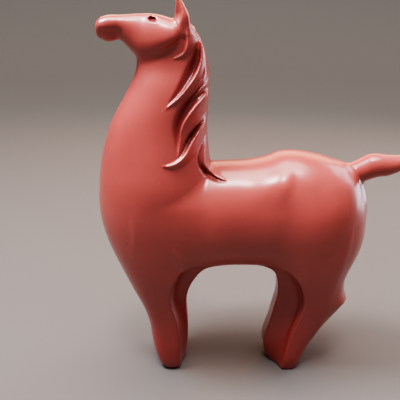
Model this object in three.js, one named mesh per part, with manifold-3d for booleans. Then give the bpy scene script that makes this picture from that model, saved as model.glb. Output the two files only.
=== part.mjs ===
import * as THREE from "three";
import Module from "manifold-3d";

const wasm = await Module();
wasm.setup();

// Horse figurine, one hollow casting in red clay, standing on two joined pairs of legs.
// Millimetres. The body is shaped with x running back from the chest, y across the body
// (near side negative) and z up from the floor; the finished part is then centred in x.

// ---- sizes: outlines of each mass, as [position, value] ----------------------------------

const NECK_TOP = 288;
const CROUP_TOP = 183;
const TRUNK_START = 40;
const TRUNK_END = 208;
const TAIL_ROOT = 188;
const TAIL_TIP = 259;
const MUZZLE_START = 7;
const POLL_END = 78;

// Fore mass by height: forelegs, chest and neck.
const FORE_FRONT = curve([[0, 50], [4, 46.6], [13, 43], [28, 40], [43, 38], [60, 32.6], [78, 24],
  [98, 15], [118, 6.8], [135, 2.6], [150, 1.6], [165, 2.8], [180, 5], [198, 9.6], [213, 15.3],
  [226, 22.6], [237, 29], [247, 34], [257, 36.6], [264, 40], [272, 46], [282, 60], [NECK_TOP, 66]]);
const FORE_BACK = curve([[0, 66.5], [5, 68.3], [15, 70.5], [28, 71.6], [42, 71.4], [56, 70.6],
  [65, 71], [74, 74], [84, 80], [100, 86], [120, 92], [150, 94], [165, 93], [176, 91], [184, 89.6],
  [191, 88.6], [199, 87.8], [221, 88], [231, 88.6], [240, 89.2], [251, 88.4], [262, 86],
  [270, 82.8], [277, 78.6], [283, 73.5], [NECK_TOP, 69]]);
const FORE_HALF = curve([[0, 20], [5, 22], [15, 23], [35, 23], [55, 24.5], [75, 28.5], [95, 33],
  [120, 37.5], [145, 39.5], [165, 38.5], [185, 34], [205, 28.5], [225, 23.5], [240, 19],
  [252, 14.5], [262, 12], [270, 11], [277, 9.8], [283, 6.8], [NECK_TOP, 1.5]]);

// Hind mass by height: hind legs and haunch.
const HIND_FRONT = curve([[0, 143], [8, 139.5], [17, 137.2], [26, 138], [38, 141.3], [53, 144.6],
  [66, 147], [78, 146], [90, 140], [110, 135], [150, 137], [162, 142], [170, 147], [176, 151],
  [CROUP_TOP, 158]]);
const HIND_BACK = curve([[0, 168], [17, 174.5], [35, 184], [50, 195], [60, 202.3], [65, 205.4],
  [70, 203.6], [76, 202.4], [84, 202.6], [92, 204.8], [100, 208], [110, 211.8], [119, 214],
  [130, 214.8], [140, 214.4], [153, 211.8], [162, 208], [168, 204], [173, 197], [177, 187], [180, 176],
  [CROUP_TOP, 160]]);
const HIND_HALF = curve([[0, 21.5], [8, 23], [25, 23], [45, 23.8], [60, 26], [78, 30], [95, 34.5],
  [115, 38.5], [135, 39.5], [150, 36.5], [162, 29.5], [170, 22], [176, 14.5], [180, 8],
  [CROUP_TOP, 2]]);

// How square the plan of a mass is: boxy legs, round chest and haunch.
const LEG_SQUARE = curve([[0, 3.4], [40, 3], [80, 2.5], [110, 2.2], [NECK_TOP, 2.2]]);

// Trunk, head and tail by length.
const TRUNK_TOP = curve([[TRUNK_START, 165], [60, 172], [80, 177], [95, 179.6], [105, 180],
  [125, 181.6], [135, 184.2], [142, 187], [156, 188.2], [169, 186.4], [185, 182.2], [195, 178],
  [203, 171], [TRUNK_END, 160]]);
const TRUNK_LOW = curve([[TRUNK_START, 110], [60, 97], [75, 92.5], [90, 91.2], [107, 93],
  [125, 93], [139, 91.5], [150, 92], [165, 97], [180, 103], [195, 112], [203, 124], [TRUNK_END, 140]]);
const TRUNK_HALF = curve([[TRUNK_START, 30], [60, 35], [90, 37], [125, 37.3], [150, 38.5],
  [170, 38.8], [185, 36], [195, 29.5], [203, 18], [TRUNK_END, 6]]);

const HEAD_TOP = curve([[MUZZLE_START, 279.5], [8, 282.2], [10, 284.6], [14.5, 286.6],
  [25.7, 287.2], [40, 288], [47, 288], [54, 287], [61, 285], [68, 283], [POLL_END, 279]]);
const HEAD_LOW = curve([[MUZZLE_START, 277.6], [7.8, 274.2], [9.4, 271.2], [12, 268.6],
  [15.5, 267.3], [20, 267.9], [24, 268.8], [27, 267.9], [30, 265.2], [33.4, 261.6], [37, 258.6],
  [44, 257.6], [52, 259.4], [60, 263.4], [66, 268], [72, 273], [POLL_END, 277]]);
const HEAD_HALF = curve([[MUZZLE_START, 2], [8, 5], [10, 8], [14, 9.8], [19, 9.8], [25, 9.2],
  [32, 10.2], [40, 12.2], [48, 14], [55, 14.8], [61, 14.6], [65.5, 13.2], [69, 10], [73, 5.5],
  [POLL_END, 3]]);
const HEAD_SKEW = curve([[22, -0.2], [40, 0.22]]);
const MOUTH_TOP = 279.5;
const MOUTH_LOW = 275.5;
const CHIN = 262;
const MOUTH_SINK = 1.7;

const TAIL_TOP = curve([[TAIL_ROOT, 178], [200, 178.6], [207, 182], [213.5, 185.4], [219.7, 186],
  [227, 185.2], [237, 184.9], [247, 185.8], [253, 186.4], [257.5, 185.9], [TAIL_TIP, 183.9]]);
const TAIL_LOW = curve([[TAIL_ROOT, 160], [200, 161.5], [207, 163], [214, 165.2], [220.4, 167.4],
  [229, 168.6], [234, 170.4], [240, 173], [247, 176], [253, 178.6], [257.5, 180.8],
  [TAIL_TIP, 182.6]]);
const TAIL_HALF = curve([[TAIL_ROOT, 9], [205, 9], [214, 9.6], [222, 9.8], [232, 8.8], [242, 7],
  [250, 5.4], [255, 4], [258, 2.4], [TAIL_TIP, 1]]);

// Ridge on the outer face of each leg, where the hollowed inner corner begins.
const FORE_RIDGE = curve([[0, 64.4], [26, 63.9], [49, 62], [60, 59.3], [70, 57.9], [78, 58.6],
  [86, 60.6], [93, 63.6], [99, 67.2], [103, 70.5]]);
const HIND_RIDGE = curve([[0, 151.6], [33, 157.2], [53, 163.1], [63, 165.3], [72, 165.1],
  [82, 162.7], [91, 158.4], [97, 152.5], [100, 146], [103, 138]]);
const WEB_HALF = 7;
const RIDGE_HALF = 24;
const ARCH_TOP_INSIDE = 91.5;
const ARCH_TOP_OUTSIDE = 102;

// Locks of the mane: height, then [x, z, half-width] along each lock from the crest to its tip.
const LOCKS = [
  lock(3.8, [[74.2, 284, 1.6], [74.8, 280, 4.2], [75.4, 274.8, 5], [75.4, 268.8, 4.5],
    [73.2, 263.7, 3.3], [69.4, 260.2, 1.9], [62.6, 257.8, 0.5]]),
  lock(3.8, [[83, 277, 1.4], [83.6, 270.5, 2.8], [84.8, 262.5, 3.8], [84.2, 254.5, 4.4],
    [80.6, 246.2, 4.4], [74.4, 238.6, 3.4], [67.8, 232, 2.2], [57.5, 224.6, 0.5]]),
  lock(2.4, [[83, 264, 0.8], [84.8, 259.5, 1.8], [86, 254, 2.2], [86.2, 248.6, 2.6],
    [84.8, 244.2, 2.8], [82.2, 240.8, 2.3], [79.6, 238, 1.3], [77.3, 235.6, 0.4]]),
  lock(2.2, [[88, 243.6, 0.8], [86.6, 240.4, 2], [84.2, 237.6, 2.1], [81.2, 235.2, 1.6],
    [78.6, 232.1, 1], [76.5, 229.5, 0.4]]),
  lock(3.8, [[94, 240.5, 2.5], [90.5, 233.8, 5], [86, 229, 6], [80.4, 223.6, 6],
    [74.3, 217, 4.9], [69.9, 210, 3.5], [68.2, 200.9, 2], [66.2, 191.2, 0.6]]),
  lock(3.6, [[88, 220, 0.8], [86.6, 213.5, 2.4], [83, 207.8, 3.7], [79.8, 202.5, 4.6],
    [77, 197.6, 4.9], [73.9, 192.6, 4.5], [69.2, 188, 3.9], [62.9, 185.4, 2.5],
    [55.2, 185.2, 0.5]]),
  lock(2.6, [[88.4, 212, 0.8], [88.6, 206, 2], [88.2, 200.5, 2.8], [87.3, 195, 3.5],
    [86.6, 189, 4.2], [86.9, 183.8, 4.4], [89.2, 179.9, 4], [92.9, 176.2, 2.8],
    [97.5, 173.3, 1.4], [101.5, 171.8, 0.4]]),
];
const LOCK_RIM = 0.8;
const LOCK_START = 0.22;
const CREST_START = 0.2;
const CREST_FULL = 0.65;

// Hollows of the neck in front of the locks, in the same form.
const HOLLOWS = [
  lock(3, [[79.6, 265, 0.8], [79.6, 260, 3.6], [78.4, 254.5, 5.2], [75.6, 248.6, 5.5],
    [71.2, 241.6, 4.4], [65.6, 234.2, 2.6], [60, 228.6, 0.8]]),
  lock(3, [[80, 236, 0.8], [75.5, 229, 4.5], [70.6, 221, 6], [66.8, 211.5, 5], [65.6, 202, 2.4],
    [65, 196, 0.6]]),
  lock(2.6, [[83.6, 215, 0.6], [79.6, 209.6, 2.4], [75.8, 204.6, 3], [72.6, 199.8, 2.6],
    [70, 195, 1.4], [67.5, 191.5, 0.5]]),
];

// Soft ridges on the legs, and the groove in front of the last lock, in the same form.
const ELBOW = lock(0.9, [[61, 124, 1], [64.5, 115, 4.5], [68.5, 106, 5.5], [71.5, 99, 4],
  [73, 94, 1.5]]);
const HAMSTRING = lock(1, [[196, 140, 1], [194.4, 128, 4], [190.7, 110.1, 7], [186.9, 93, 8],
  [184.1, 72.9, 8], [181, 45.5, 6], [176, 20, 1]]);
const GROOVE = lock(1.7, [[85.6, 203, 0.4], [82.4, 194.5, 0.8], [80.9, 187.6, 1.2],
  [82.2, 181.6, 1.6], [86, 175.6, 2], [91.1, 172.7, 2.1], [96.4, 171.1, 1.5], [100.8, 170.6, 0.5]]);

// Point of the hip: its rear edge, and its top edge by length.
const HIP_RISE = 2.4;
const HIP_REAR = 150.5;
const HIP_TOP = curve([[108, 169], [127.6, 173.4], [138.6, 178], [147, 180], [156, 180]]);

const EYE = { x: 48.6, z: 284.2, length: 3.6, height: 1.9, tilt: 0.24, depth: 2.1 };

const EAR_BASE = new THREE.Vector3(71.4, -8, 274.5);
const EAR_TIP = new THREE.Vector3(66, -6.8, 300);
const EAR_HALF = curve([[0, 4], [0.2, 5.4], [0.4, 5.8], [0.6, 4.3], [0.79, 2.4], [0.93, 1], [1, 0.3]]);
const EAR_DEPTH = 0.72;
const EAR_CUP = 1.4;
const EAR_TURN = 0.85;
const EAR_RINGS = 8;
const EAR_SIDES = 10;
const UP = new THREE.Vector3(0, 0, 1);

// Spacing of the mesh, as [from, to, step] along each direction.
const GRID_X = [[-1.5, 31, 5.4], [31, 59.2, 4.7], [59.2, 79.7, 3.1], [79.7, 100, 3.8],
  [100, 140, 10], [140, 204, 9.2], [204, 246, 7], [246, 260, 3.5]];
const GRID_Y = [[-44, -17.3, 6.75], [-17.3, 17.3, 4.4], [17.3, 44, 6.75]];
const GRID_Z = [[-1.5, 3, 4.5], [3, 66, 9], [66, 108, 7], [108, 168, 12], [168, 183, 5],
  [183, 192, 4.5], [192, 261.9, 4.9], [261.9, 303, 3.6]];

// ---- small helpers -----------------------------------------------------------------------

// Smooth curve through [position, value] knots, level beyond the ends.
function curve(knots) {
  const last = knots.length - 1;
  const slopes = [];
  for (let i = 0; i < last; i++) {
    slopes.push((knots[i + 1][1] - knots[i][1]) / (knots[i + 1][0] - knots[i][0]));
  }
  const tangents = knots.map((knot, i) => {
    if (i === 0) return slopes[0];
    if (i === last) return slopes[last - 1];
    const before = knot[0] - knots[i - 1][0];
    const after = knots[i + 1][0] - knot[0];
    return (after * slopes[i - 1] + before * slopes[i]) / (before + after);
  });
  return (position) => {
    const at = Math.min(Math.max(position, knots[0][0]), knots[last][0]);
    let i = 0;
    while (i < last - 1 && at > knots[i + 1][0]) i++;
    const span = knots[i + 1][0] - knots[i][0];
    const t = (at - knots[i][0]) / span;
    const s = 1 - t;
    return (1 + 2 * t) * s * s * knots[i][1] + t * s * s * span * tangents[i]
      + t * t * (3 - 2 * t) * knots[i + 1][1] - t * t * s * span * tangents[i + 1];
  };
}

// Eased step from 0 at `from` to 1 at `to`.
function ease(from, to, value) {
  const t = Math.min(Math.max((value - from) / (to - from), 0), 1);
  return t * t * (3 - 2 * t);
}

// Union and intersection of two distances, blended over `round`.
function join(a, b, round) {
  const overlap = Math.max(round - Math.abs(a - b), 0) / round;
  return Math.min(a, b) - overlap * overlap * round / 4;
}

function cut(a, b, round) {
  return -join(-a, -b, round);
}

// Distance to an oval of half-sizes a and b; a larger power makes it squarer.
function oval(u, a, v, b, power) {
  const du = Math.abs(u) / a + 1e-9;
  const dv = Math.abs(v) / b + 1e-9;
  const q = (du ** power + dv ** power) ** (1 / power);
  return (q - 1) / Math.hypot((du / q) ** (power - 1) / a, (dv / q) ** (power - 1) / b);
}

// ---- masses ------------------------------------------------------------------------------

// A mass sliced level: front, back and half-width by height.
function column(x, y, z, front, back, half, top) {
  const f = front(z);
  const b = back(z);
  const side = oval(x - (f + b) / 2, (b - f) / 2, y, half(z), LEG_SQUARE(z));
  return Math.max(side, z - top);
}

// A mass sliced upright: top, underside and half-width by length. Skew narrows it upward.
function barrel(x, y, z, top, low, half, power, start, end, skew = 0) {
  const t = top(x);
  const l = low(x);
  const up = Math.min(Math.max((2 * z - t - l) / (t - l), -1), 1);
  const side = oval(z - (t + l) / 2, (t - l) / 2, y, half(x) * (1 - skew * up), power);
  return Math.max(side, start - x, x - end);
}

// The opening between the leg pairs: narrow at the web between a pair, hollowed out wider
// toward the outer faces.
function archway(x, y, z) {
  const low = Math.min(z, 66);
  const corner = 36 - 20 * ease(90, 130, x);
  const insideWalls = cut(FORE_BACK(low) - x, x - HIND_FRONT(low), 1);
  const inside = cut(insideWalls, z - ARCH_TOP_INSIDE, corner);
  const outsideWalls = cut(FORE_RIDGE(z) - x, x - HIND_RIDGE(z), 1);
  const outside = cut(outsideWalls, z - ARCH_TOP_OUTSIDE, 6);
  const t = Math.min(Math.max((-y - WEB_HALF) / (RIDGE_HALF - WEB_HALF), 0), 1);
  return inside + (outside - inside) * t * (2 - t);
}

// ---- relief on the side faces ------------------------------------------------------------

// A tapering band: its height and its run of [x, z, half-width] in short segments.
function lock(height, knots) {
  const along = [0, 1, 2].map((axis) => curve(knots.map((knot, i) => [i, knot[axis]])));
  const steps = (knots.length - 1) * 5;
  const run = [];
  for (let i = 0; i <= steps; i++) {
    const t = (i * (knots.length - 1)) / steps;
    run.push([along[0](t), along[1](t), Math.max(along[2](t), 0.2)]);
  }
  const widest = Math.max(...run.map((point) => point[2]));
  const box = new THREE.Box2().setFromPoints(run.map(([x, z]) => new THREE.Vector2(x, z)));
  return { height, run, widest, box: box.expandByScalar(widest) };
}

// Where (x, z) lies on a band: across it, -1 at the rear edge to 1 at the front rim, how wide
// it is there as a share of its widest, and how far along it is.
function onBand(x, z, band) {
  if (!band.box.containsPoint({ x, y: z })) return null;
  const last = band.run.length - 1;
  let nearest = 1;
  let place = null;
  for (let i = 0; i < last; i++) {
    const [ax, az, aw] = band.run[i];
    const [bx, bz, bw] = band.run[i + 1];
    const dx = bx - ax;
    const dz = bz - az;
    const t = Math.min(Math.max(((x - ax) * dx + (z - az) * dz) / (dx * dx + dz * dz), 0), 1);
    const ex = x - ax - t * dx;
    const ez = z - az - t * dz;
    const width = aw + t * (bw - aw);
    const ratio = Math.hypot(ex, ez) / width;
    if (ratio < nearest) {
      nearest = ratio;
      const across = Math.sign(ex * dz - ez * dx) * ratio;
      place = { across, width: width / band.widest, along: (i + t) / last };
    }
  }
  return place;
}

// A lock of hair: a steep front rim, falling away to its rear edge.
function lockRise(x, z, band) {
  const at = onBand(x, z, band);
  if (!at) return 0;
  const rim = ease(1, 1 - LOCK_RIM, at.across);
  const fall = Math.min(Math.max((at.across + 1) / 1.5, 0), 1) ** 0.9;
  return band.height * at.width ** 0.7 * ease(-0.02, LOCK_START, at.along) * rim * fall;
}

// A soft rounded ridge.
function ridgeRise(x, z, band) {
  const at = onBand(x, z, band);
  return at ? band.height * at.width * (1 - at.across * at.across) ** 2 : 0;
}

// The point of the hip: a swelling that ends in a short drop above and behind.
function hipRise(x, z) {
  const edge = cut(x - HIP_REAR, z - HIP_TOP(x), 9);
  const drop = 4.5 + 6 * ease(172, 152, z);
  return HIP_RISE * ease(1.2, -drop, edge) * ease(106, 142, x) * ease(146, 168, z);
}

// The lower lip, set back under the nose.
function mouthSink(x, z) {
  const height = ease(MOUTH_TOP, MOUTH_LOW, z) * ease(CHIN - 6, CHIN, z);
  return MOUTH_SINK * height * ease(8.5, 12, x) * ease(29, 22, x);
}

function eyeSink(x, z) {
  const cos = Math.cos(EYE.tilt);
  const sin = Math.sin(EYE.tilt);
  const u = ((x - EYE.x) * cos - (z - EYE.z) * sin) / EYE.length;
  const v = ((x - EYE.x) * sin + (z - EYE.z) * cos) / EYE.height;
  return EYE.depth * ease(1.05, 0.45, Math.hypot(u, v));
}

// Locks and hollows of the mane, dying away on the crest of the neck.
function maneRise(x, y, z) {
  const raised = Math.max(0, ...LOCKS.map((band) => lockRise(x, z, band)));
  const sunk = Math.max(0, ...HOLLOWS.map((band) => ridgeRise(x, z, band)));
  const aside = ease(CREST_START, CREST_FULL, Math.abs(y) / FORE_HALF(z));
  return (raised - sunk * ease(3.2, 0, raised)) * aside;
}

function relief(x, y, z) {
  const raised = ridgeRise(x, z, ELBOW) + ridgeRise(x, z, HAMSTRING) + hipRise(x, z);
  const sunk = ridgeRise(x, z, GROOVE) + mouthSink(x, z) + eyeSink(x, z);
  return maneRise(x, y, z) + raised - sunk;
}

// ---- the body ----------------------------------------------------------------------------

// Distance from the surface of the body, negative inside; both sides are alike.
function body(x, side, z) {
  const y = -Math.abs(side);
  const fore = column(x, y, z, FORE_FRONT, FORE_BACK, FORE_HALF, NECK_TOP);
  const hind = column(x, y, z, HIND_FRONT, HIND_BACK, HIND_HALF, CROUP_TOP);
  const trunk = barrel(x, y, z, TRUNK_TOP, TRUNK_LOW, TRUNK_HALF, 2.1, TRUNK_START, TRUNK_END);
  const tail = barrel(x, y, z, TAIL_TOP, TAIL_LOW, TAIL_HALF, 2, TAIL_ROOT, TAIL_TIP);
  const head = barrel(x, y, z, HEAD_TOP, HEAD_LOW, HEAD_HALF, 2.3, MUZZLE_START, POLL_END,
    HEAD_SKEW(x));
  const front = join(fore, trunk, 12 - 8 * ease(150, 172, z));
  const haunch = join(front, hind, 10 - 6 * ease(168, 182, z));
  const arched = cut(haunch, -archway(x, y, z), 1.2);
  const whole = join(join(arched, tail, 5), head, 1.6 + 5 * ease(62, 46, x));
  return cut(whole - relief(x, y, z), -z, 2);
}

// Slides a point onto the surface along the slope of the distance.
function settle([x, y, z]) {
  const h = 0.05;
  const point = new THREE.Vector3(x, y, z);
  const at = (dx, dy, dz) => body(point.x + dx, point.y + dy, point.z + dz);
  for (let pass = 0; pass < 4; pass++) {
    const slope = new THREE.Vector3(
      at(h, 0, 0) - at(-h, 0, 0),
      at(0, h, 0) - at(0, -h, 0),
      at(0, 0, h) - at(0, 0, -h),
    ).divideScalar(2 * h);
    const steepness = slope.length() + 1e-9;
    const move = Math.min(Math.max(-at(0, 0, 0) / steepness, -1.2), 1.2);
    point.addScaledVector(slope, move / steepness);
  }
  return point;
}

// ---- mesh --------------------------------------------------------------------------------

function gridLines(spans) {
  const lines = [spans[0][0]];
  for (const [from, to, step] of spans) {
    const count = Math.round((to - from) / step);
    for (let i = 1; i <= count; i++) lines.push(from + ((to - from) * i) / count);
  }
  return lines;
}

function eachNode(size, visit) {
  for (let i = 0; i < size[0]; i++) {
    for (let j = 0; j < size[1]; j++) {
      for (let k = 0; k < size[2]; k++) visit([i, j, k]);
    }
  }
}

function stepped(at, axis, count) {
  return at.map((value, i) => value + (i === axis ? count : 0));
}

// Where a grid square has its inside corners only across a diagonal, the nearer of its outside
// corners joins them, so that no edge of the mesh is shared by four faces.
function closePinches(field, size, node) {
  let found = false;
  eachNode(size, (at) => {
    for (let axis = 0; axis < 3; axis++) {
      const [p, q] = [(axis + 1) % 3, (axis + 2) % 3];
      if (at[p] + 1 >= size[p] || at[q] + 1 >= size[q]) continue;
      const ring = [at, stepped(at, p, 1), stepped(stepped(at, p, 1), q, 1), stepped(at, q, 1)];
      const corners = ring.map((corner) => node(...corner));
      const inside = corners.map((corner) => field[corner] < 0);
      if (inside[0] !== inside[2] || inside[1] !== inside[3] || inside[0] === inside[1]) continue;
      const [a, b] = inside[0] ? [corners[1], corners[3]] : [corners[0], corners[2]];
      field[field[a] < field[b] ? a : b] = -0.01;
      found = true;
    }
  });
  if (found) closePinches(field, size, node);
}

// One vertex in every grid cell the surface crosses, one face over every crossed grid edge.
function surface(distance) {
  const grid = [gridLines(GRID_X), gridLines(GRID_Y), gridLines(GRID_Z)];
  const size = grid.map((lines) => lines.length);
  const node = (i, j, k) => (i * size[1] + j) * size[2] + k;
  const place = (at) => at.map((value, i) => grid[i][value]);
  const field = new Float64Array(size[0] * size[1] * size[2]);
  eachNode(size, (at) => {
    field[node(...at)] = distance(...place(at));
  });
  closePinches(field, size, node);

  const sums = new Map();
  const faces = [];
  const addCrossing = (cell, point) => {
    const key = node(...cell);
    const sum = sums.get(key) ?? [0, 0, 0, 0];
    sums.set(key, [sum[0] + point[0], sum[1] + point[1], sum[2] + point[2], sum[3] + 1]);
    return key;
  };
  const scanEdge = (at, axis) => {
    const [p, q] = [(axis + 1) % 3, (axis + 2) % 3];
    if (at[axis] + 1 >= size[axis] || at[p] === 0 || at[q] === 0) return;
    const next = stepped(at, axis, 1);
    const a = field[node(...at)];
    const b = field[node(...next)];
    if (a < 0 === b < 0) return;
    const point = place(at);
    point[axis] += (a / (a - b)) * (place(next)[axis] - point[axis]);
    const corners = [[-1, -1], [0, -1], [0, 0], [-1, 0]].map(([dp, dq]) => {
      return addCrossing(stepped(stepped(at, p, dp), q, dq), point);
    });
    faces.push(a < 0 ? corners : corners.reverse());
  };
  eachNode(size, (at) => {
    for (let axis = 0; axis < 3; axis++) scanEdge(at, axis);
  });
  return { sums, faces };
}

// ---- solids ------------------------------------------------------------------------------

// Closed skin over rings of points, all with the same number of points.
function loft(rings) {
  const sides = rings[0].length;
  const last = (rings.length - 1) * sides;
  const index = [];
  for (let ring = 0; ring < last; ring += sides) {
    for (let i = 0; i < sides; i++) {
      const a = ring + i;
      const b = ring + ((i + 1) % sides);
      index.push(a, b, b + sides, a, b + sides, a + sides);
    }
  }
  for (let i = 1; i < sides - 1; i++) {
    index.push(0, i + 1, i, last, last + i, last + i + 1);
  }
  return new THREE.BufferGeometry().setFromPoints(rings.flat()).setIndex(index);
}

// An upright leaf-shaped ear, cupped on its outer and forward side.
function earGeometry() {
  const rings = [];
  for (let ring = 0; ring <= EAR_RINGS; ring++) {
    const t = ring / EAR_RINGS;
    const centre = EAR_BASE.clone().lerp(EAR_TIP, t);
    const cup = EAR_CUP * ease(0.25, 0.5, t);
    const outline = [];
    for (let i = 0; i < EAR_SIDES; i++) {
      const angle = (2 * Math.PI * i) / EAR_SIDES;
      const swell = Math.sin(angle) * (Math.sin(angle) < 0 ? 1 - cup : 1);
      const leaf = new THREE.Vector3(Math.cos(angle), EAR_DEPTH * swell, 0);
      leaf.multiplyScalar(EAR_HALF(t)).applyAxisAngle(UP, -EAR_TURN);
      outline.push(leaf.add(centre));
    }
    rings.push(outline);
  }
  return loft(rings);
}

function mirrored(geometry) {
  const twin = geometry.clone().scale(1, -1, 1);
  twin.index.array.reverse();
  return twin;
}

function toSolid(geometry) {
  const mesh = new wasm.Mesh({
    numProp: 3,
    vertProperties: Float32Array.from(geometry.attributes.position.array),
    triVerts: Uint32Array.from(geometry.index.array),
  });
  return new wasm.Manifold(mesh);
}

function toGeometry(solid) {
  const mesh = solid.getMesh();
  const geometry = new THREE.BufferGeometry();
  geometry.setAttribute("position", new THREE.BufferAttribute(mesh.vertProperties, 3));
  geometry.setIndex(new THREE.BufferAttribute(mesh.triVerts, 1));
  return geometry;
}

function bodyGeometry() {
  const { sums, faces } = surface(body);
  const order = new Map();
  const points = [];
  for (const [key, [x, y, z, count]] of sums) {
    order.set(key, points.length);
    points.push(settle([x / count, y / count, z / count]));
  }
  const index = [];
  for (const face of faces) {
    const [a, b, c, d] = face.map((key) => order.get(key));
    const shortWay = points[a].distanceTo(points[c]) < points[b].distanceTo(points[d]);
    index.push(...(shortWay ? [a, b, c, a, c, d] : [a, b, d, b, c, d]));
  }
  return new THREE.BufferGeometry().setFromPoints(points).setIndex(index);
}

function horseGeometry() {
  const ear = earGeometry();
  const pieces = [bodyGeometry(), ear, mirrored(ear)].map(toSolid);
  const geometry = toGeometry(wasm.Manifold.union(pieces));
  geometry.computeBoundingBox();
  const { min, max } = geometry.boundingBox;
  geometry.translate(-(min.x + max.x) / 2, -(min.y + max.y) / 2, -min.z);
  geometry.computeVertexNormals();
  return geometry;
}

function redClay() {
  return new THREE.MeshStandardMaterial({ color: 0xb8564c, roughness: 0.38, metalness: 0 });
}

const figurine = new THREE.Group();
figurine.name = "horse_figurine";
const casting = new THREE.Mesh(horseGeometry(), redClay());
casting.name = "horse";
figurine.add(casting);

export default figurine;
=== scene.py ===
import math

import bpy
import numpy as np
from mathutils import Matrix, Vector


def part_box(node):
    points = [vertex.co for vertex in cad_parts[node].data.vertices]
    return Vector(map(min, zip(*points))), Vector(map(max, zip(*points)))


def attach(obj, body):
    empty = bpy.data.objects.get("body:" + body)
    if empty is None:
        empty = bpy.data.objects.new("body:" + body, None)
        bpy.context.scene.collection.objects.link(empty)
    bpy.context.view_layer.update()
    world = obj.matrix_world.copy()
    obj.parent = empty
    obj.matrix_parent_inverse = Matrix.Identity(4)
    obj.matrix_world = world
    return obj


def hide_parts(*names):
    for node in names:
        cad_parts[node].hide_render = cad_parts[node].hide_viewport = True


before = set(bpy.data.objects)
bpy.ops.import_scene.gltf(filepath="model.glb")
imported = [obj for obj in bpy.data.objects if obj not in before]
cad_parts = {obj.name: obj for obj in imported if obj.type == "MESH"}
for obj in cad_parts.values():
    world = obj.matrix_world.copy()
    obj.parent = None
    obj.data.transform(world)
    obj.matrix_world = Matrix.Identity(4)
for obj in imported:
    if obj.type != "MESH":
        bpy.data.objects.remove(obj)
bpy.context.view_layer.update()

MM = 0.001

# ---- curves and blends ---------------------------------------------------------------------


def curve(*knots):
    """Smooth curve through (position, value) knots, level beyond the ends."""
    at, value = np.array(knots, float).T
    step = np.diff(at)
    slope = np.diff(value) / step
    tangent = np.empty(len(at))
    tangent[0], tangent[-1] = slope[0], slope[-1]
    tangent[1:-1] = (step[1:] * slope[:-1] + step[:-1] * slope[1:]) / (step[:-1] + step[1:])

    def evaluate(position):
        position = np.clip(position, at[0], at[-1])
        i = np.clip(np.searchsorted(at, position, side="right") - 1, 0, len(at) - 2)
        t = (position - at[i]) / step[i]
        s = 1 - t
        return (
            (1 + 2 * t) * s * s * value[i]
            + t * s * s * step[i] * tangent[i]
            + t * t * (3 - 2 * t) * value[i + 1]
            - t * t * s * step[i] * tangent[i + 1]
        )

    return evaluate


def ease(start, end, value):
    t = np.clip((value - start) / (end - start), 0, 1)
    return t * t * (3 - 2 * t)


def join(a, b, blend):
    overlap = np.maximum(blend - np.abs(a - b), 0) / blend
    return np.minimum(a, b) - overlap * overlap * blend / 4


def cut(a, b, blend):
    return -join(-a, -b, blend)


def oval(u, a, v, b, power):
    """Distance to an oval of half-sizes a and b; a larger power makes it squarer."""
    du = np.abs(u) / a + 1e-9
    dv = np.abs(v) / b + 1e-9
    q = (du**power + dv**power) ** (1 / power)
    slope = np.hypot((du / q) ** (power - 1) / a, (dv / q) ** (power - 1) / b)
    return (q - 1) / slope


# ---- sizes in mm: x back from the chest, y across, z up from the floor ----------------------

NECK_TOP = 288
CROUP_TOP = 183
TRUNK_START = 40
TRUNK_END = 208
TAIL_ROOT = 188
TAIL_TIP = 259
MUZZLE_START = 7
POLL_END = 78

FORE_FRONT = curve(
    (0, 50), (4, 46.6), (13, 43), (28, 40), (43, 38), (60, 32.6), (78, 24), (98, 15),
    (118, 6.8), (135, 2.6), (150, 1.6), (165, 2.8), (180, 5), (198, 9.6), (213, 15.3),
    (226, 22.6), (237, 29), (247, 34), (257, 36.6), (264, 40), (272, 46), (282, 60),
    (NECK_TOP, 66),
)
FORE_BACK = curve(
    (0, 66.5), (5, 68.3), (15, 70.5), (28, 71.6), (42, 71.4), (56, 70.6), (65, 71), (74, 74),
    (84, 80), (100, 86), (120, 92), (150, 94), (165, 93), (176, 91), (184, 89.6), (191, 88.6),
    (199, 87.8), (221, 88), (231, 88.6), (240, 89.2), (251, 88.4), (262, 86), (270, 82.8),
    (277, 78.6), (283, 73.5), (NECK_TOP, 69),
)
FORE_HALF = curve(
    (0, 20), (5, 22), (15, 23), (35, 23), (55, 24.5), (75, 28.5), (95, 33), (120, 37.5),
    (145, 39.5), (165, 38.5), (185, 34), (205, 28.5), (225, 23.5), (240, 19), (252, 14.5),
    (262, 12), (270, 11), (277, 9.8), (283, 6.8), (NECK_TOP, 1.5),
)
HIND_FRONT = curve(
    (0, 143), (8, 139.5), (17, 137.2), (26, 138), (38, 141.3), (53, 144.6), (66, 147),
    (78, 146), (90, 140), (110, 135), (150, 137), (162, 142), (170, 147), (176, 151),
    (CROUP_TOP, 158),
)
HIND_BACK = curve(
    (0, 168), (17, 174.5), (35, 184), (50, 195), (60, 202.3), (65, 205.4), (70, 203.6),
    (76, 202.4), (84, 202.6), (92, 204.8), (100, 208), (110, 211.8), (119, 214), (130, 214.8),
    (140, 214.4), (153, 211.8), (162, 208), (168, 204), (173, 197), (177, 187), (180, 176),
    (CROUP_TOP, 160),
)
HIND_HALF = curve(
    (0, 21.5), (8, 23), (25, 23), (45, 23.8), (60, 26), (78, 30), (95, 34.5), (115, 38.5),
    (135, 39.5), (150, 36.5), (162, 29.5), (170, 22), (176, 14.5), (180, 8), (CROUP_TOP, 2),
)
LEG_SQUARE = curve((0, 3.4), (40, 3), (80, 2.5), (110, 2.2), (NECK_TOP, 2.2))
TRUNK_POWER = 2.1
TAIL_POWER = 2
HEAD_POWER = 2.3
TRUNK_TOP = curve(
    (TRUNK_START, 165), (60, 172), (80, 177), (95, 179.6), (105, 180), (125, 181.6),
    (135, 184.2), (142, 187), (156, 188.2), (169, 186.4), (185, 182.2), (195, 178), (203, 171),
    (TRUNK_END, 160),
)
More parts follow.
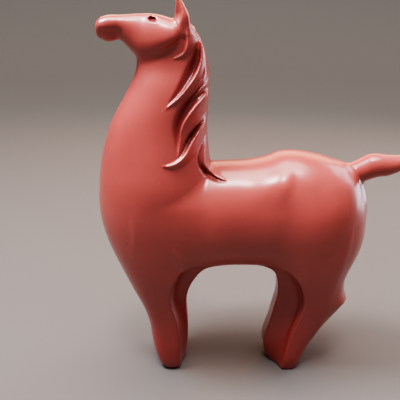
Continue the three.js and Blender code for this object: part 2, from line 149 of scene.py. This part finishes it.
TRUNK_LOW = curve(
    (TRUNK_START, 110), (60, 97), (75, 92.5), (90, 91.2), (107, 93), (125, 93), (139, 91.5),
    (150, 92), (165, 97), (180, 103), (195, 112), (203, 124), (TRUNK_END, 140),
)
TRUNK_HALF = curve(
    (TRUNK_START, 30), (60, 35), (90, 37), (125, 37.3), (150, 38.5), (170, 38.8), (185, 36),
    (195, 29.5), (203, 18), (TRUNK_END, 6),
)
HEAD_TOP = curve(
    (MUZZLE_START, 279.5), (8, 282.2), (10, 284.6), (14.5, 286.6), (25.7, 287.2), (40, 288),
    (47, 288), (54, 287), (61, 285), (68, 283), (POLL_END, 279),
)
HEAD_LOW = curve(
    (MUZZLE_START, 277.6), (7.8, 274.2), (9.4, 271.2), (12, 268.6), (15.5, 267.3), (20, 267.9),
    (24, 268.8), (27, 267.9), (30, 265.2), (33.4, 261.6), (37, 258.6), (44, 257.6), (52, 259.4),
    (60, 263.4), (66, 268), (72, 273), (POLL_END, 277),
)
HEAD_HALF = curve(
    (MUZZLE_START, 2), (8, 5), (10, 8), (14, 9.8), (19, 9.8), (25, 9.2), (32, 10.2), (40, 12.2),
    (48, 14), (55, 14.8), (61, 14.6), (65.5, 13.2), (69, 10), (73, 5.5), (POLL_END, 3),
)
HEAD_SKEW = curve((22, -0.2), (40, 0.22))
TAIL_TOP = curve(
    (TAIL_ROOT, 178), (200, 178.6), (207, 182), (213.5, 185.4), (219.7, 186), (227, 185.2),
    (237, 184.9), (247, 185.8), (253, 186.4), (257.5, 185.9), (TAIL_TIP, 183.9),
)
TAIL_LOW = curve(
    (TAIL_ROOT, 160), (200, 161.5), (207, 163), (214, 165.2), (220.4, 167.4), (229, 168.6),
    (234, 170.4), (240, 173), (247, 176), (253, 178.6), (257.5, 180.8), (TAIL_TIP, 182.6),
)
TAIL_HALF = curve(
    (TAIL_ROOT, 9), (205, 9), (214, 9.6), (222, 9.8), (232, 8.8), (242, 7), (250, 5.4),
    (255, 4), (258, 2.4), (TAIL_TIP, 1),
)
FORE_RIDGE = curve(
    (0, 64.4), (26, 63.9), (49, 62), (60, 59.3), (70, 57.9), (78, 58.6), (86, 60.6), (93, 63.6),
    (99, 67.2), (103, 70.5),
)
HIND_RIDGE = curve(
    (0, 151.6), (33, 157.2), (53, 163.1), (63, 165.3), (72, 165.1), (82, 162.7), (91, 158.4),
    (97, 152.5), (100, 146), (103, 138),
)
EAR_HALF = curve(
    (0, 4), (0.2, 5.4), (0.4, 5.8), (0.6, 4.3), (0.79, 2.4), (0.93, 1), (1, 0.3),
)
MOUTH_TOP = 279.5
MOUTH_LOW = 275.5
CHIN = 262
MOUTH_SINK = 1.7
EAR_BASE = (71.4, -8, 274.5)
EAR_TIP = (66, -6.8, 301.5)
EAR_DEPTH = 0.72
EAR_TURN = 0.75
CUP_HALF, CUP_DEPTH, CUP_OUT = 0.72, 0.7, 0.84

WEB_HALF = 7
RIDGE_HALF = 24
ARCH_TOP_INSIDE = 91.5
ARCH_TOP_OUTSIDE = 102
ARCH_LEVEL = 66
ARCH_CORNER_FRONT, ARCH_CORNER_REAR, ARCH_CORNER_OUTSIDE = 36, 16, 6

BAND_STEPS = 6
BAND_LEAST = 0.2


def lock(height, knots):
    """A tapering band of relief through (x, z, half-width) knots."""
    knots = np.array(knots, float)
    index = np.arange(len(knots))
    along = np.linspace(0, len(knots) - 1, (len(knots) - 1) * BAND_STEPS + 1)
    run = np.stack([curve(*zip(index, knots[:, axis]))(along) for axis in range(3)], 1)
    run[:, 2] = np.maximum(run[:, 2], BAND_LEAST)
    return height, run


LOCKS = [
    lock(3.8, [
        (74.2, 284, 1.6), (74.8, 280, 4.2), (75.4, 274.8, 5), (75.4, 268.8, 4.5),
        (73.2, 263.7, 3.3), (69.4, 260.2, 1.9), (62.6, 257.8, 0.5),
    ]),
    lock(3.8, [
        (83, 277, 1.4), (83.6, 270.5, 2.8), (84.8, 262.5, 3.8), (84.2, 254.5, 4.4),
        (80.6, 246.2, 4.4), (74.4, 238.6, 3.4), (67.8, 232, 2.2), (57.5, 224.6, 0.5),
    ]),
    lock(2.4, [
        (83, 264, 0.8), (84.8, 259.5, 1.8), (86, 254, 2.2), (86.2, 248.6, 2.6),
        (84.8, 244.2, 2.8), (82.2, 240.8, 2.3), (79.6, 238, 1.3), (77.3, 235.6, 0.4),
    ]),
    lock(2.2, [
        (88, 243.6, 0.8), (86.6, 240.4, 2), (84.2, 237.6, 2.1), (81.2, 235.2, 1.6),
        (78.6, 232.1, 1), (76.5, 229.5, 0.4),
    ]),
    lock(3.8, [
        (94, 240.5, 2.5), (90.5, 233.8, 5), (86, 229, 6), (80.4, 223.6, 6), (74.3, 217, 4.9),
        (69.9, 210, 3.5), (68.2, 200.9, 2), (66.2, 191.2, 0.6),
    ]),
    lock(3.6, [
        (88, 220, 0.8), (86.6, 213.5, 2.4), (83, 207.8, 3.7), (79.8, 202.5, 4.6),
        (77, 197.6, 4.9), (73.9, 192.6, 4.5), (69.2, 188, 3.9), (62.9, 185.4, 2.5),
        (55.2, 185.2, 0.5),
    ]),
    lock(2.6, [
        (88.4, 212, 0.8), (88.6, 206, 2), (88.2, 200.5, 2.8), (87.3, 195, 3.5),
        (86.6, 189, 4.2), (86.9, 183.8, 4.4), (89.2, 179.9, 4), (92.9, 176.2, 2.8),
        (97.5, 173.3, 1.4), (101.5, 171.8, 0.4),
    ]),
]
LOCK_RIM = 0.7
LOCK_START = 0.22
LOCK_BODY = 1.5
LOCK_SWELL = 0.9
LOCK_TAPER = 0.7
CREST_START = 0.2
CREST_FULL = 0.65

HOLLOWS = [
    lock(3, [
        (79.6, 265, 0.8), (79.6, 260, 3.6), (78.4, 254.5, 5.2), (75.6, 248.6, 5.5),
        (71.2, 241.6, 4.4), (65.6, 234.2, 2.6), (60, 228.6, 0.8),
    ]),
    lock(3, [
        (80, 236, 0.8), (75.5, 229, 4.5), (70.6, 221, 6), (66.8, 211.5, 5), (65.6, 202, 2.4),
        (65, 196, 0.6),
    ]),
    lock(2.6, [
        (83.6, 215, 0.6), (79.6, 209.6, 2.4), (75.8, 204.6, 3), (72.6, 199.8, 2.6),
        (70, 195, 1.4), (67.5, 191.5, 0.5),
    ]),
]
ELBOW = lock(0.9, [
    (61, 124, 1), (64.5, 115, 4.5), (68.5, 106, 5.5), (71.5, 99, 4), (73, 94, 1.5),
])
HAMSTRING = lock(1, [
    (196, 140, 1), (194.4, 128, 4), (190.7, 110.1, 7), (186.9, 93, 8), (184.1, 72.9, 8),
    (181, 45.5, 6), (176, 20, 1),
])
GROOVE = lock(1.7, [
    (85.6, 203, 0.4), (82.4, 194.5, 0.8), (80.9, 187.6, 1.2), (82.2, 181.6, 1.6),
    (86, 175.6, 2), (91.1, 172.7, 2.1), (96.4, 171.1, 1.5), (100.8, 170.6, 0.5),
])

HIP_RISE = 2.4
HIP_REAR = 150.5
HIP_CORNER = 9
HIP_EDGE = 2.5
HIP_TOP = curve((108, 169), (127.6, 173.4), (138.6, 178), (147, 180), (156, 180))
EYE_X, EYE_Z = 48.6, 284.2
EYE_LENGTH, EYE_HEIGHT, EYE_DEPTH = 3.6, 1.9, 2.1
EYE_TILT = 0.24
LID_RISE, LID_PLACE, LID_WIDTH = 0.12, 1.45, 0.32

GROOVE_START = 3
GROOVE_FULL = 13
HOLLOW_CLEAR = 3.2
# how much wider the painted shade reaches than the hollows it darkens
SHADE_SPREAD = 1.55


def across_band(x, z, run):
    """Where each (x, z) lies across a band, from -1 at its rear edge to 1 at its front rim, with
    the width there and the share of the band's length. Points off the band get 9."""
    widest = run[:, 2].max()
    low, high = run[:, :2].min(0) - widest, run[:, :2].max(0) + widest
    near = (x > low[0]) & (x < high[0]) & (z > low[1]) & (z < high[1])
    u, width, share = np.full(x.shape, 9.0), np.ones(x.shape), np.zeros(x.shape)
    x, z = x[near], z[near]
    best, side, local, along = (np.full(x.shape, value) for value in (1.0, 9.0, 1.0, 0.0))
    for i, ((ax, az, aw), (bx, bz, bw)) in enumerate(zip(run[:-1], run[1:])):
        dx, dz = bx - ax, bz - az
        t = np.clip(((x - ax) * dx + (z - az) * dz) / (dx * dx + dz * dz), 0, 1)
        ex, ez = x - ax - t * dx, z - az - t * dz
        here = aw + t * (bw - aw)
        ratio = np.hypot(ex, ez) / here
        closer = ratio < best
        best[closer] = ratio[closer]
        side[closer] = (np.sign(ex * dz - ez * dx) * ratio)[closer]
        local[closer] = here[closer]
        along[closer] = ((i + t) / (len(run) - 1))[closer]
    u[near], width[near], share[near] = side, local, along
    return u, width, share


def lock_rise(x, z, band):
    """A lock of hair: steep at its front rim and sloping away behind it."""
    height, run = band
    u, width, share = across_band(x, z, run)
    rim = ease(1, 1 - LOCK_RIM, u)
    body = np.clip((u + 1) / LOCK_BODY, 0, 1) ** LOCK_SWELL
    taper = (width / run[:, 2].max()) ** LOCK_TAPER
    return height * taper * ease(-0.02, LOCK_START, share) * rim * body


def ridge_rise(x, z, band):
    """A soft ridge, highest along the middle of the band."""
    height, run = band
    u, width, _ = across_band(x, z, run)
    return height * (width / run[:, 2].max()) * np.clip(1 - u * u, 0, 1) ** 2


def hip_rise(x, z):
    """The flank's swelling, which ends in an arched line at the hip."""
    edge = cut(x - HIP_REAR, z - HIP_TOP(x), HIP_CORNER)
    slope = 6.5 + 7 * ease(176, 156, z)
    return HIP_RISE * ease(HIP_EDGE, -slope, edge) * ease(106, 142, x) * ease(150, 172, z)


def mouth_sink(x, z):
    """The lower lip, set back under the nose."""
    height = ease(MOUTH_TOP, MOUTH_LOW, z) * ease(CHIN - 6, CHIN, z)
    return MOUTH_SINK * height * ease(8.5, 12, x) * ease(29, 22, x)


def eye_sink(x, z):
    """An oval pit with a faint raised lid around it."""
    cos, sin = math.cos(EYE_TILT), math.sin(EYE_TILT)
    u = ((x - EYE_X) * cos - (z - EYE_Z) * sin) / EYE_LENGTH
    v = ((x - EYE_X) * sin + (z - EYE_Z) * cos) / EYE_HEIGHT
    q = np.hypot(u, v)
    lids = LID_RISE * np.exp(-(((q - LID_PLACE) / LID_WIDTH) ** 2))
    return EYE_DEPTH * ease(1.05, 0.45, q) - lids


def mane_rise(x, y, z):
    """Locks and hollows of the mane, dying away on the crest of the neck."""
    raised = np.max([lock_rise(x, z, band) for band in LOCKS], axis=0)
    sunk = np.max([ridge_rise(x, z, band) for band in HOLLOWS], axis=0)
    aside = ease(CREST_START, CREST_FULL, np.abs(y) / FORE_HALF(z))
    return (raised - sunk * ease(HOLLOW_CLEAR, 0, raised)) * aside


def recess(x, y, z):
    """How far each point lies down in a hollow of the mane, the groove or an eye, from 0 to 1: the
    mask for the painted shade in the clay's colour, spread wider than the hollows.
    """
    raised = np.max([lock_rise(x, z, band) for band in LOCKS], axis=0)
    shaded = [(1, run * (1, 1, SHADE_SPREAD)) for _, run in (*HOLLOWS, GROOVE)]
    sunk = np.max([ridge_rise(x, z, band) for band in shaded], axis=0)
    aside = ease(CREST_START, CREST_FULL, np.abs(y) / FORE_HALF(z))
    hollow = sunk * ease(2.6, 0.3, raised) * aside
    return np.clip(np.maximum(hollow, 1.2 * eye_sink(x, z) / EYE_DEPTH), 0, 1)


def relief(x, y, z):
    """How far the surface stands out of the plain masses."""
    x, y, z = np.broadcast_arrays(x, y, z)
    shape = x.shape
    x, y, z = x.ravel(), y.ravel(), z.ravel()
    raised = ridge_rise(x, z, ELBOW) + ridge_rise(x, z, HAMSTRING) + hip_rise(x, z)
    groove = ridge_rise(x, z, GROOVE) * ease(GROOVE_START, GROOVE_FULL, np.abs(y))
    sunk = groove + mouth_sink(x, z) + eye_sink(x, z)
    return (mane_rise(x, y, z) + raised - sunk).reshape(shape)


# ---- masses --------------------------------------------------------------------------------


def column(x, y, z, front, back, half, top):
    """A mass sliced level: front, back and half-width by height."""
    f, b = front(z), back(z)
    side = oval(x - (f + b) / 2, (b - f) / 2, y, half(z), LEG_SQUARE(z))
    return np.maximum(side, z - top)


def barrel(x, y, z, top, low, half, power, start, end, skew=0):
    """A mass sliced upright: top, underside and half-width by length. Skew narrows it upward."""
    t, b = top(x), low(x)
    width = half(x) * (1 - skew * np.clip((2 * z - t - b) / (t - b), -1, 1))
    side = oval(z - (t + b) / 2, (t - b) / 2, y, width, power)
    return np.maximum(np.maximum(side, start - x), x - end)


def archway(x, y, z):
    """The opening between the leg pairs, hollowed out wider toward the outer faces."""
    low = np.minimum(z, ARCH_LEVEL)
    corner = ARCH_CORNER_FRONT + (ARCH_CORNER_REAR - ARCH_CORNER_FRONT) * ease(90, 130, x)
    inside = cut(cut(FORE_BACK(low) - x, x - HIND_FRONT(low), 1), z - ARCH_TOP_INSIDE, corner)
    outside = cut(FORE_RIDGE(z) - x, x - HIND_RIDGE(z), 1)
    outside = cut(outside, z - ARCH_TOP_OUTSIDE, ARCH_CORNER_OUTSIDE)
    t = np.clip((-y - WEB_HALF) / (RIDGE_HALF - WEB_HALF), 0, 1)
    return inside + (outside - inside) * t * (2 - t)


def ear(x, y, z):
    """An upright leaf-shaped ear, cupped on its outer and forward side."""
    axis = np.subtract(EAR_TIP, EAR_BASE)
    length = np.linalg.norm(axis)
    axis = axis / length
    dx, dy, dz = x - EAR_BASE[0], y - EAR_BASE[1], z - EAR_BASE[2]
    t = (dx * axis[0] + dy * axis[1] + dz * axis[2]) / length
    dx, dy = dx - t * length * axis[0], dy - t * length * axis[1]
    cos, sin = math.cos(EAR_TURN), math.sin(EAR_TURN)
    across, out = dx * cos - dy * sin, dx * sin + dy * cos
    w = EAR_HALF(t)
    solid = oval(across, w, out, w * EAR_DEPTH, 2)
    solid = np.maximum(np.maximum(solid, (t - 1) * length), -t * length)
    cup = oval(across, w * CUP_HALF, out + w * CUP_OUT, w * CUP_DEPTH, 2)
    cup = cup + 4 * ease(0.55, 0.12, t)
    return cut(solid, -cup, 0.5)


def horse(x, side, z):
    """Distance from the figure's surface, negative inside; both sides are alike."""
    y = -np.abs(side)
    fore = column(x, y, z, FORE_FRONT, FORE_BACK, FORE_HALF, NECK_TOP)
    hind = column(x, y, z, HIND_FRONT, HIND_BACK, HIND_HALF, CROUP_TOP)
    shape = (TRUNK_TOP, TRUNK_LOW, TRUNK_HALF, TRUNK_POWER)
    trunk = barrel(x, y, z, *shape, TRUNK_START, TRUNK_END)
    tail = barrel(x, y, z, TAIL_TOP, TAIL_LOW, TAIL_HALF, TAIL_POWER, TAIL_ROOT, TAIL_TIP)
    shape = (HEAD_TOP, HEAD_LOW, HEAD_HALF, HEAD_POWER)
    head = barrel(x, y, z, *shape, MUZZLE_START, POLL_END, HEAD_SKEW(x))
    body = join(fore, trunk, 12 - 8 * ease(150, 172, z))
    body = join(body, hind, 10 - 6 * ease(168, 182, z))
    body = cut(body, -archway(x, y, z), 1.2)
    body = join(body, tail, 5)
    body = join(body, head, 1.6 + 5 * ease(62, 46, x))
    body = join(body - relief(x, -y, z), ear(x, y, z), 3)
    return cut(body, -z, 2)


# ---- mesh ----------------------------------------------------------------------------------


def grid_lines(spans):
    """Grid positions through (start, end, spacing) spans that follow each other."""
    lines = [np.array([spans[0][0]], float)]
    for start, end, step in spans:
        count = round((end - start) / step)
        lines.append(start + (end - start) * np.arange(1, count + 1) / count)
    return np.concatenate(lines)


def settle(points, passes=4, reach=0.6, h=0.03):
    """Slides points onto the surface along the slope of the distance."""
    for _ in range(passes):
        slope = np.empty_like(points)
        for axis in range(3):
            shift = np.zeros(3)
            shift[axis] = h
            ahead, behind = horse(*(points + shift).T), horse(*(points - shift).T)
            slope[:, axis] = (ahead - behind) / (2 * h)
        steepness = np.linalg.norm(slope, axis=1) + 1e-9
        move = np.clip(-horse(*points.T) / steepness, -reach, reach)
        points = points + slope * (move / steepness)[:, None]
    return points


def surface_net(distance, grid):
    """One vertex in every grid cell the surface crosses, one face over every crossed edge."""
    field = distance(grid[0][:, None, None], grid[1][None, :, None], grid[2][None, None, :])
    inside = field < 0
    cells = tuple(len(lines) - 1 for lines in grid)
    total, count = np.zeros(cells + (3,)), np.zeros(cells)
    crossings = []
    for axis in range(3):
        p, q = (axis + 1) % 3, (axis + 2) % 3
        start = np.argwhere(np.diff(inside, axis=axis))
        start = start[(start[:, p] > 0) & (start[:, q] > 0)]
        end = start.copy()
        end[:, axis] += 1
        a, b = field[tuple(start.T)], field[tuple(end.T)]
        point = np.stack([lines[start[:, i]] for i, lines in enumerate(grid)], 1)
        span = grid[axis][end[:, axis]] - grid[axis][start[:, axis]]
        point[:, axis] += span * a / (a - b)
        around = []
        for dp, dq in ((-1, -1), (0, -1), (0, 0), (-1, 0)):
            cell = start.copy()
            cell[:, p] += dp
            cell[:, q] += dq
            around.append(cell)
            np.add.at(total, tuple(cell.T), point)
            np.add.at(count, tuple(cell.T), 1)
        crossings.append((np.stack(around, 1), a < 0))
    used = count > 0
    number = np.full(cells, -1)
    number[used] = np.arange(used.sum())
    faces = []
    for around, outward in crossings:
        face = number[around[..., 0], around[..., 1], around[..., 2]]
        face[~outward] = face[~outward][:, ::-1]
        faces.append(face)
    return total[used] / count[used][:, None], np.concatenate(faces)


GRID = (
    grid_lines([(-1, 6, 1.75), (6, 32, 1.2), (32, 44, 1.5), (44, 95, 0.75), (95, 262.5, 1.9)]),
    grid_lines([(-44, -16, 1.4), (-16, 16, 1.1), (16, 44, 1.4)]),
    grid_lines([(-1.5, 168, 1.8), (168, 303, 0.85)]),
)


def make_horse():
    """The figure's mesh, fitted to the CAD node's box."""
    points, faces = surface_net(horse, GRID)
    points = settle(points)
    shade_depth = recess(*points.T)
    low, high = (np.array(corner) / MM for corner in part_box("horse"))
    start, end = points.min(0), points.max(0)
    points = low + (points - start) * (high - low) / (end - start)
    mesh = bpy.data.meshes.new("horse_figure")
    mesh.from_pydata(points * MM, [], faces.tolist())
    mesh.update()
    mesh.polygons.foreach_set("use_smooth", np.ones(len(mesh.polygons), bool))
    # the mask for painted shade in the hollows and eye pits, stored on the points
    mesh.attributes.new("recess", "FLOAT", "POINT").data.foreach_set("value", shade_depth)
    piece = bpy.data.objects.new("horse_figure", mesh)
    bpy.context.scene.collection.objects.link(piece)
    return piece


# ---- material ------------------------------------------------------------------------------


def rgb(red, green, blue):
    """Linear colour from 0-255 display values."""
    def linear(value):
        value /= 255
        return value / 12.92 if value <= 0.04045 else ((value + 0.055) / 1.055) ** 2.4
    return (linear(red), linear(green), linear(blue), 1)


class Nodes:
    def __init__(self, name):
        self.material = bpy.data.materials.new(name)
        self.material.use_nodes = True
        self.tree = self.material.node_tree
        self.tree.nodes.clear()

    def add(self, kind, inputs=None, **settings):
        node = self.tree.nodes.new(kind)
        for key, value in settings.items():
            setattr(node, key, value)
        for key, value in (inputs or {}).items():
            if isinstance(value, bpy.types.NodeSocket):
                self.tree.links.new(value, node.inputs[key])
            else:
                node.inputs[key].default_value = value
        return node

    def noise(self, vector, scale, detail=4, rough=0.5):
        values = {"Vector": vector, "Scale": scale, "Detail": detail, "Roughness": rough}
        return self.add("ShaderNodeTexNoise", values).outputs["Fac"]

    def ramp(self, fac, stops):
        node = self.add("ShaderNodeValToRGB", {"Fac": fac})
        elements = node.color_ramp.elements
        while len(elements) < len(stops):
            elements.new(0.5)
        for element, (at, colour) in zip(elements, stops):
            element.position = at
            element.color = colour if isinstance(colour, tuple) else (colour,) * 3 + (1,)
        return node.outputs["Color"]

    def mix(self, fac, a, b, blend="MIX"):
        node = self.add("ShaderNodeMix", data_type="RGBA", blend_type=blend)
        for socket, value in ((node.inputs[0], fac), (node.inputs[6], a), (node.inputs[7], b)):
            if isinstance(value, bpy.types.NodeSocket):
                self.tree.links.new(value, socket)
            else:
                socket.default_value = value
        return node.outputs[2]

    def map_range(self, value, low, high, start=0.0, end=1.0):
        values = {"Value": value, "From Min": start, "From Max": end, "To Min": low, "To Max": high}
        return self.add("ShaderNodeMapRange", values).outputs["Result"]


def red_clay():
    """Burnished red clay: clouded and mottled, with painted shade toward the feet and painted shade
    in the hollows of the mane, the groove and the eye pits.
    """
    n = Nodes("red_clay")
    where = n.add("ShaderNodeTexCoord").outputs["Object"]
    cloud = n.noise(where, 22, 5, 0.55)
    mottle = n.noise(where, 160, 4, 0.6)
    grain = n.noise(where, 1500, 3, 0.6)
    base = n.ramp(cloud, [(0.3, rgb(176, 82, 74)), (0.7, rgb(190, 90, 82))])
    base = n.mix(n.map_range(mottle, 0.0, 0.16), base, rgb(150, 60, 48))
    speck = n.noise(where, 900, 2, 0.5)
    pale = n.ramp(speck, [(0.735, 0.0), (0.77, 0.75)])
    base = n.mix(pale, base, rgb(214, 150, 132))
    height = n.add("ShaderNodeSeparateXYZ", {"Vector": where}).outputs["Z"]
    # painted shade: the lowest 110 mm darkened toward the feet, where the overhead light falls
    # weakest
    base = n.mix(n.map_range(height, 0.62, 0, 0.02, 0.11), base, rgb(146, 46, 42))
    shade_depth = n.add("ShaderNodeAttribute", attribute_name="recess").outputs["Fac"]
    # painted shade: hollows of the mane, the groove and the eye pits darkened to a deep maroon
    base = n.mix(n.map_range(shade_depth, 0, 0.75), base, rgb(104, 34, 36))
    rough = n.map_range(cloud, 0.27, 0.37)
    fine = n.map_range(mottle, -0.04, 0.05)
    rough = n.add("ShaderNodeMath", {0: rough, 1: fine}, operation="ADD").outputs[0]
    bump = n.add("ShaderNodeBump", {"Strength": 0.05, "Distance": 0.0004, "Height": grain})
    wave = n.noise(where, 60, 2, 0.4)
    soft = n.add("ShaderNodeBump", {"Strength": 0.12, "Distance": 0.0009, "Height": wave,
                                    "Normal": bump.outputs["Normal"]})
    shader = n.add("ShaderNodeBsdfPrincipled", {
        "Base Color": base, "Roughness": rough, "IOR": 1.5, "Normal": soft.outputs["Normal"],
        "Coat Weight": 0.55, "Coat Roughness": 0.22, "Coat IOR": 1.5,
    })
    n.add("ShaderNodeOutputMaterial", {"Surface": shader.outputs["BSDF"]})
    return n.material


def plain(name, colour, rough):
    n = Nodes(name)
    shader = n.add("ShaderNodeBsdfPrincipled", {"Base Color": colour, "Roughness": rough})
    n.add("ShaderNodeOutputMaterial", {"Surface": shader.outputs["BSDF"]})
    return n.material


# ---- scene ---------------------------------------------------------------------------------

FOCAL_MM = 45
SENSOR_MM = 36
PITCH = math.radians(20)
CAMERA_DISTANCE = 0.400
AIM_HEIGHT = 0.1475
FIGURE_MIDDLE = 130.3
AIM_X = (82 - FIGURE_MIDDLE) * MM
WORLD_COLOUR = (0.9, 0.92, 1.0, 1)
WORLD_STRENGTH = 0.25

FLOOR_HALF = 12
SWEEP_START = 2.5
SWEEP = 2.0
SWEEP_STEPS = 24
WALL_TOP = 6


def make_camera():
    data = bpy.data.cameras.new("camera")
    data.lens = FOCAL_MM
    data.sensor_width = SENSOR_MM
    camera = bpy.data.objects.new("camera", data)
    camera.location = (
        AIM_X,
        -CAMERA_DISTANCE * math.cos(PITCH),
        AIM_HEIGHT + CAMERA_DISTANCE * math.sin(PITCH),
    )
    camera.rotation_euler = (math.pi / 2 - PITCH, 0, 0)
    bpy.context.scene.collection.objects.link(camera)
    bpy.context.scene.camera = camera


def area_light(name, place, aim, width, height, power, colour):
    """A rectangular lamp at place, facing aim."""
    data = bpy.data.lights.new(name, "AREA")
    data.shape = "RECTANGLE"
    data.size, data.size_y = width, height
    data.energy = power
    data.color = colour
    lamp = bpy.data.objects.new(name, data)
    lamp.location = place
    direction = Vector(aim) - Vector(place)
    lamp.rotation_euler = direction.to_track_quat("-Z", "Y").to_euler()
    bpy.context.scene.collection.objects.link(lamp)


def sun_light(name, direction, spread_deg, strength, colour):
    """Distant light that travels in the given direction."""
    data = bpy.data.lights.new(name, "SUN")
    data.angle = math.radians(spread_deg)
    data.energy = strength
    data.color = colour
    lamp = bpy.data.objects.new(name, data)
    lamp.rotation_euler = Vector(direction).to_track_quat("-Z", "Y").to_euler()
    bpy.context.scene.collection.objects.link(lamp)


def make_floor():
    """A wide floor that sweeps up into a plain wall far behind the figure."""
    turns = [math.pi / 2 * i / SWEEP_STEPS for i in range(SWEEP_STEPS + 1)]
    profile = [(-FLOOR_HALF, 0)]
    profile += [(SWEEP_START + SWEEP * math.sin(a), SWEEP * (1 - math.cos(a))) for a in turns]
    profile.append((SWEEP_START + SWEEP, WALL_TOP))
    corners = [(side * FLOOR_HALF, y, z) for y, z in profile for side in (-1, 1)]
    strips = [(2 * i, 2 * i + 1, 2 * i + 3, 2 * i + 2) for i in range(len(profile) - 1)]
    mesh = bpy.data.meshes.new("floor")
    mesh.from_pydata(corners, [], strips)
    mesh.update()
    mesh.polygons.foreach_set("use_smooth", [True] * len(strips))
    floor = bpy.data.objects.new("floor", mesh)
    floor.data.materials.append(plain("floor", rgb(104, 98, 93), 0.7))
    bpy.context.scene.collection.objects.link(floor)


def make_world():
    world = bpy.data.worlds.new("studio")
    world.use_nodes = True
    back = world.node_tree.nodes["Background"]
    back.inputs["Color"].default_value = WORLD_COLOUR
    back.inputs["Strength"].default_value = WORLD_STRENGTH
    bpy.context.scene.world = world


piece = make_horse()
piece.data.materials.append(red_clay())
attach(piece, "root")
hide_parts("horse")

make_camera()
make_floor()
make_world()
sun_light("ceiling", (0, 0, -1), 38, 2.2, (1.0, 0.93, 0.86))
sun_light("lamp", (0, 0.3, -1), 12, 1.3, (0.97, 0.95, 1.0))
area_light("left", (-0.5, -0.06, 1.0), (0, 0, 0.15), 0.34, 0.34, 16, (0.86, 0.89, 1.0))
area_light("behind", (0.1, 0.85, 0.7), (0.03, 0, 0.18), 1.1, 0.5, 5, (1.0, 0.58, 0.36))
area_light("right", (0.85, 0.42, 0.38), (0.06, 0, 0.12), 0.5, 1.3, 8, (0.82, 0.84, 1.0))
bpy.context.scene.view_settings.view_transform = "AgX"
bpy.context.scene.view_settings.look = "AgX - High Contrast"
